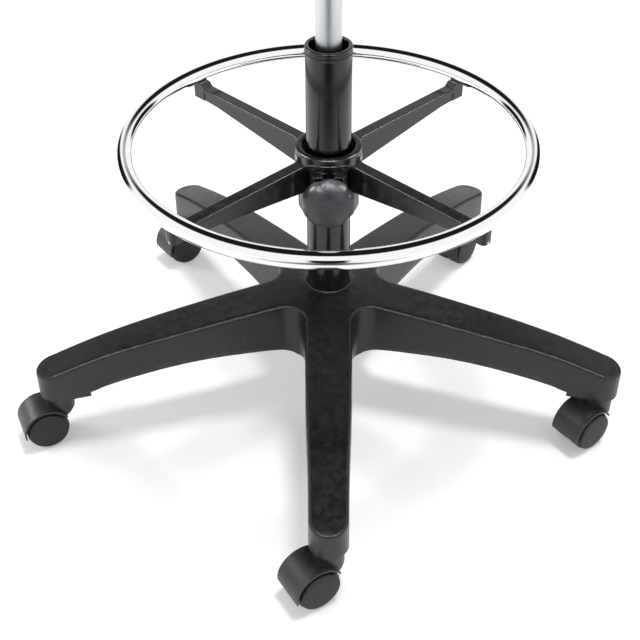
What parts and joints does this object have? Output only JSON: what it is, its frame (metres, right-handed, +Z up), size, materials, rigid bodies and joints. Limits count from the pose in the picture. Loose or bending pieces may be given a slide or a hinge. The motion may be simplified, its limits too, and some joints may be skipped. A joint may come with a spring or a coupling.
{
  "type": "drafting chair base",
  "caption": "Wheeled star base of a drafting chair: hooded twin-wheel casters, gas lift column with seat cone, and a chrome foot ring on a clamp that slides along the column.",
  "frame": {"origin": "on the floor, on the axis of the gas lift column", "axes": "+Z up along the column axis; -Y towards the front leg and the clamp knob; +X to the right"},
  "size_m": [0.7122, 0.6706, 0.6574],
  "materials": {
    "moulded_nylon": "matt moulded, faint grain, rubbed edges",
    "caster_nylon": "matt moulded",
    "wheel_nylon": "matt moulded tread and disc",
    "column_paint": "gloss black paint",
    "chrome": "bright chrome plate",
    "steel": "plain steel",
    "spider_nylon": "semi-gloss moulded",
    "knob_nylon": "satin moulded, dark grey",
    "guide_plastic": "plain bearing plastic",
    "bumper_rubber": "soft rubber"
  },
  "bodies": {
    "base": {"star_base": "moulded_nylon", "column_tube": "column_paint", "column_cap": "column_paint", "guide_bush": "guide_plastic", "lower_race": "steel", "thrust_balls": "steel", "ball_cage": "guide_plastic", "stem_grip_rings": "steel", "caster_front_stem": "steel", "caster_right_stem": "steel", "caster_rear_right_stem": "steel", "caster_rear_left_stem": "steel", "caster_left_stem": "steel"},
    "lift_rod": {"piston_rod": "steel", "piston": "steel", "piston_seal": "bumper_rubber", "upper_race": "steel", "rubber_bumper": "bumper_rubber", "rod_clip": "steel", "rod_washer": "steel"},
    "lift_cylinder": {"lift_cylinder": "chrome", "rod_gland": "guide_plastic", "valve_body": "steel"},
    "release_pin": {"release_pin": "steel"},
    "ring_liner": {"column_liner": "guide_plastic"},
    "foot_ring": {"ring_spider": "spider_nylon", "foot_ring": "chrome", "ring_screws": "steel", "clamp_nut": "steel"},
    "clamp_shoe": {"clamp_shoe": "guide_plastic"},
    "clamp_knob": {"clamp_knob": "knob_nylon", "clamp_stud": "steel"},
    "caster_front": {"caster_front_hood": "caster_nylon", "caster_front_axle": "steel"},
    "caster_front_wheel_a": {"caster_front_wheel_a": "wheel_nylon"},
    "caster_front_wheel_b": {"caster_front_wheel_b": "wheel_nylon"},
    "caster_right": {"caster_right_hood": "caster_nylon", "caster_right_axle": "steel"},
    "caster_right_wheel_a": {"caster_right_wheel_a": "wheel_nylon"},
    "caster_right_wheel_b": {"caster_right_wheel_b": "wheel_nylon"},
    "caster_rear_right": {"caster_rear_right_hood": "caster_nylon", "caster_rear_right_axle": "steel"},
    "caster_rear_right_wheel_a": {"caster_rear_right_wheel_a": "wheel_nylon"},
    "caster_rear_right_wheel_b": {"caster_rear_right_wheel_b": "wheel_nylon"},
    "caster_rear_left": {"caster_rear_left_hood": "caster_nylon", "caster_rear_left_axle": "steel"},
    "caster_rear_left_wheel_a": {"caster_rear_left_wheel_a": "wheel_nylon"},
    "caster_rear_left_wheel_b": {"caster_rear_left_wheel_b": "wheel_nylon"},
    "caster_left": {"caster_left_hood": "caster_nylon", "caster_left_axle": "steel"},
    "caster_left_wheel_a": {"caster_left_wheel_a": "wheel_nylon"},
    "caster_left_wheel_b": {"caster_left_wheel_b": "wheel_nylon"}
  },
  "joints": [
    {"name": "seat_swivel", "type": "hinge", "parent": "base", "child": "lift_rod", "pos_m": [0, 0, 0.09], "axis": [0, 0, 1], "continuous": true},
    {"name": "seat_height", "type": "slide", "parent": "lift_rod", "child": "lift_cylinder", "axis": [0, 0, 1], "range_m": [-0.1, 0.12]},
    {"name": "seat_release", "type": "slide", "parent": "lift_cylinder", "child": "release_pin", "axis": [0, 0, -1], "range_m": [0, 0.0025], "stiffness_N_per_m": 2000},
    {"name": "foot_ring_height", "type": "slide", "parent": "base", "child": "ring_liner", "axis": [0, 0, 1], "range_m": [-0.1, 0.11]},
    {"name": "foot_ring_turn", "type": "hinge", "parent": "ring_liner", "child": "foot_ring", "pos_m": [0, 0, 0.3], "axis": [0, 0, 1], "continuous": true},
    {"name": "clamp_feed", "type": "slide", "parent": "foot_ring", "child": "clamp_shoe", "axis": [0, -1, 0], "range_m": [0, 0.0025]},
    {"name": "clamp_turn", "type": "hinge", "parent": "clamp_shoe", "child": "clamp_knob", "pos_m": [0, -0.06, 0.296], "axis": [0, -1, 0], "range_deg": [0, 722]},
    {"name": "caster_front_swivel", "type": "hinge", "parent": "base", "child": "caster_front", "pos_m": [0, -0.335, 0.055], "axis": [0, 0, 1], "continuous": true},
    {"name": "caster_front_wheel_a_spin", "type": "hinge", "parent": "caster_front", "child": "caster_front_wheel_a", "pos_m": [-0.01866, -0.34666, 0.025], "axis": [-0.5299, 0.848, 0], "continuous": true},
    {"name": "caster_front_wheel_b_spin", "type": "hinge", "parent": "caster_front", "child": "caster_front_wheel_b", "pos_m": [-0.01866, -0.34666, 0.025], "axis": [-0.5299, 0.848, 0], "continuous": true},
    {"name": "caster_right_swivel", "type": "hinge", "parent": "base", "child": "caster_right", "pos_m": [0.3186, -0.10352, 0.055], "axis": [0, 0, 1], "continuous": true},
    {"name": "caster_right_wheel_a_spin", "type": "hinge", "parent": "caster_right", "child": "caster_right_wheel_a", "pos_m": [0.30103, -0.11676, 0.025], "axis": [-0.6018, 0.7986, 0], "continuous": true},
    {"name": "caster_right_wheel_b_spin", "type": "hinge", "parent": "caster_right", "child": "caster_right_wheel_b", "pos_m": [0.30103, -0.11676, 0.025], "axis": [-0.6018, 0.7986, 0], "continuous": true},
    {"name": "caster_rear_right_swivel", "type": "hinge", "parent": "base", "child": "caster_rear_right", "pos_m": [0.19691, 0.27102, 0.055], "axis": [0, 0, 1], "continuous": true},
    {"name": "caster_rear_right_wheel_a_spin", "type": "hinge", "parent": "caster_rear_right", "child": "caster_rear_right_wheel_a", "pos_m": [0.18306, 0.25392, 0.025], "axis": [-0.7771, 0.6293, 0], "continuous": true},
    {"name": "caster_rear_right_wheel_b_spin", "type": "hinge", "parent": "caster_rear_right", "child": "caster_rear_right_wheel_b", "pos_m": [0.18306, 0.25392, 0.025], "axis": [-0.7771, 0.6293, 0], "continuous": true},
    {"name": "caster_rear_left_swivel", "type": "hinge", "parent": "base", "child": "caster_rear_left", "pos_m": [-0.19691, 0.27102, 0.055], "axis": [0, 0, 1], "continuous": true},
    {"name": "caster_rear_left_wheel_a_spin", "type": "hinge", "parent": "caster_rear_left", "child": "caster_rear_left_wheel_a", "pos_m": [-0.21448, 0.25778, 0.025], "axis": [-0.6018, 0.7986, 0], "continuous": true},
    {"name": "caster_rear_left_wheel_b_spin", "type": "hinge", "parent": "caster_rear_left", "child": "caster_rear_left_wheel_b", "pos_m": [-0.21448, 0.25778, 0.025], "axis": [-0.6018, 0.7986, 0], "continuous": true},
    {"name": "caster_left_swivel", "type": "hinge", "parent": "base", "child": "caster_left", "pos_m": [-0.3186, -0.10352, 0.055], "axis": [0, 0, 1], "continuous": true},
    {"name": "caster_left_wheel_a_spin", "type": "hinge", "parent": "caster_left", "child": "caster_left_wheel_a", "pos_m": [-0.33854, -0.11282, 0.025], "axis": [-0.4226, 0.9063, 0], "continuous": true},
    {"name": "caster_left_wheel_b_spin", "type": "hinge", "parent": "caster_left", "child": "caster_left_wheel_b", "pos_m": [-0.33854, -0.11282, 0.025], "axis": [-0.4226, 0.9063, 0], "continuous": true}
  ],
  "couplings": [
    {"joint": "clamp_turn", "follows": "clamp_feed", "rad_per_m": 5026.5}
  ]
}
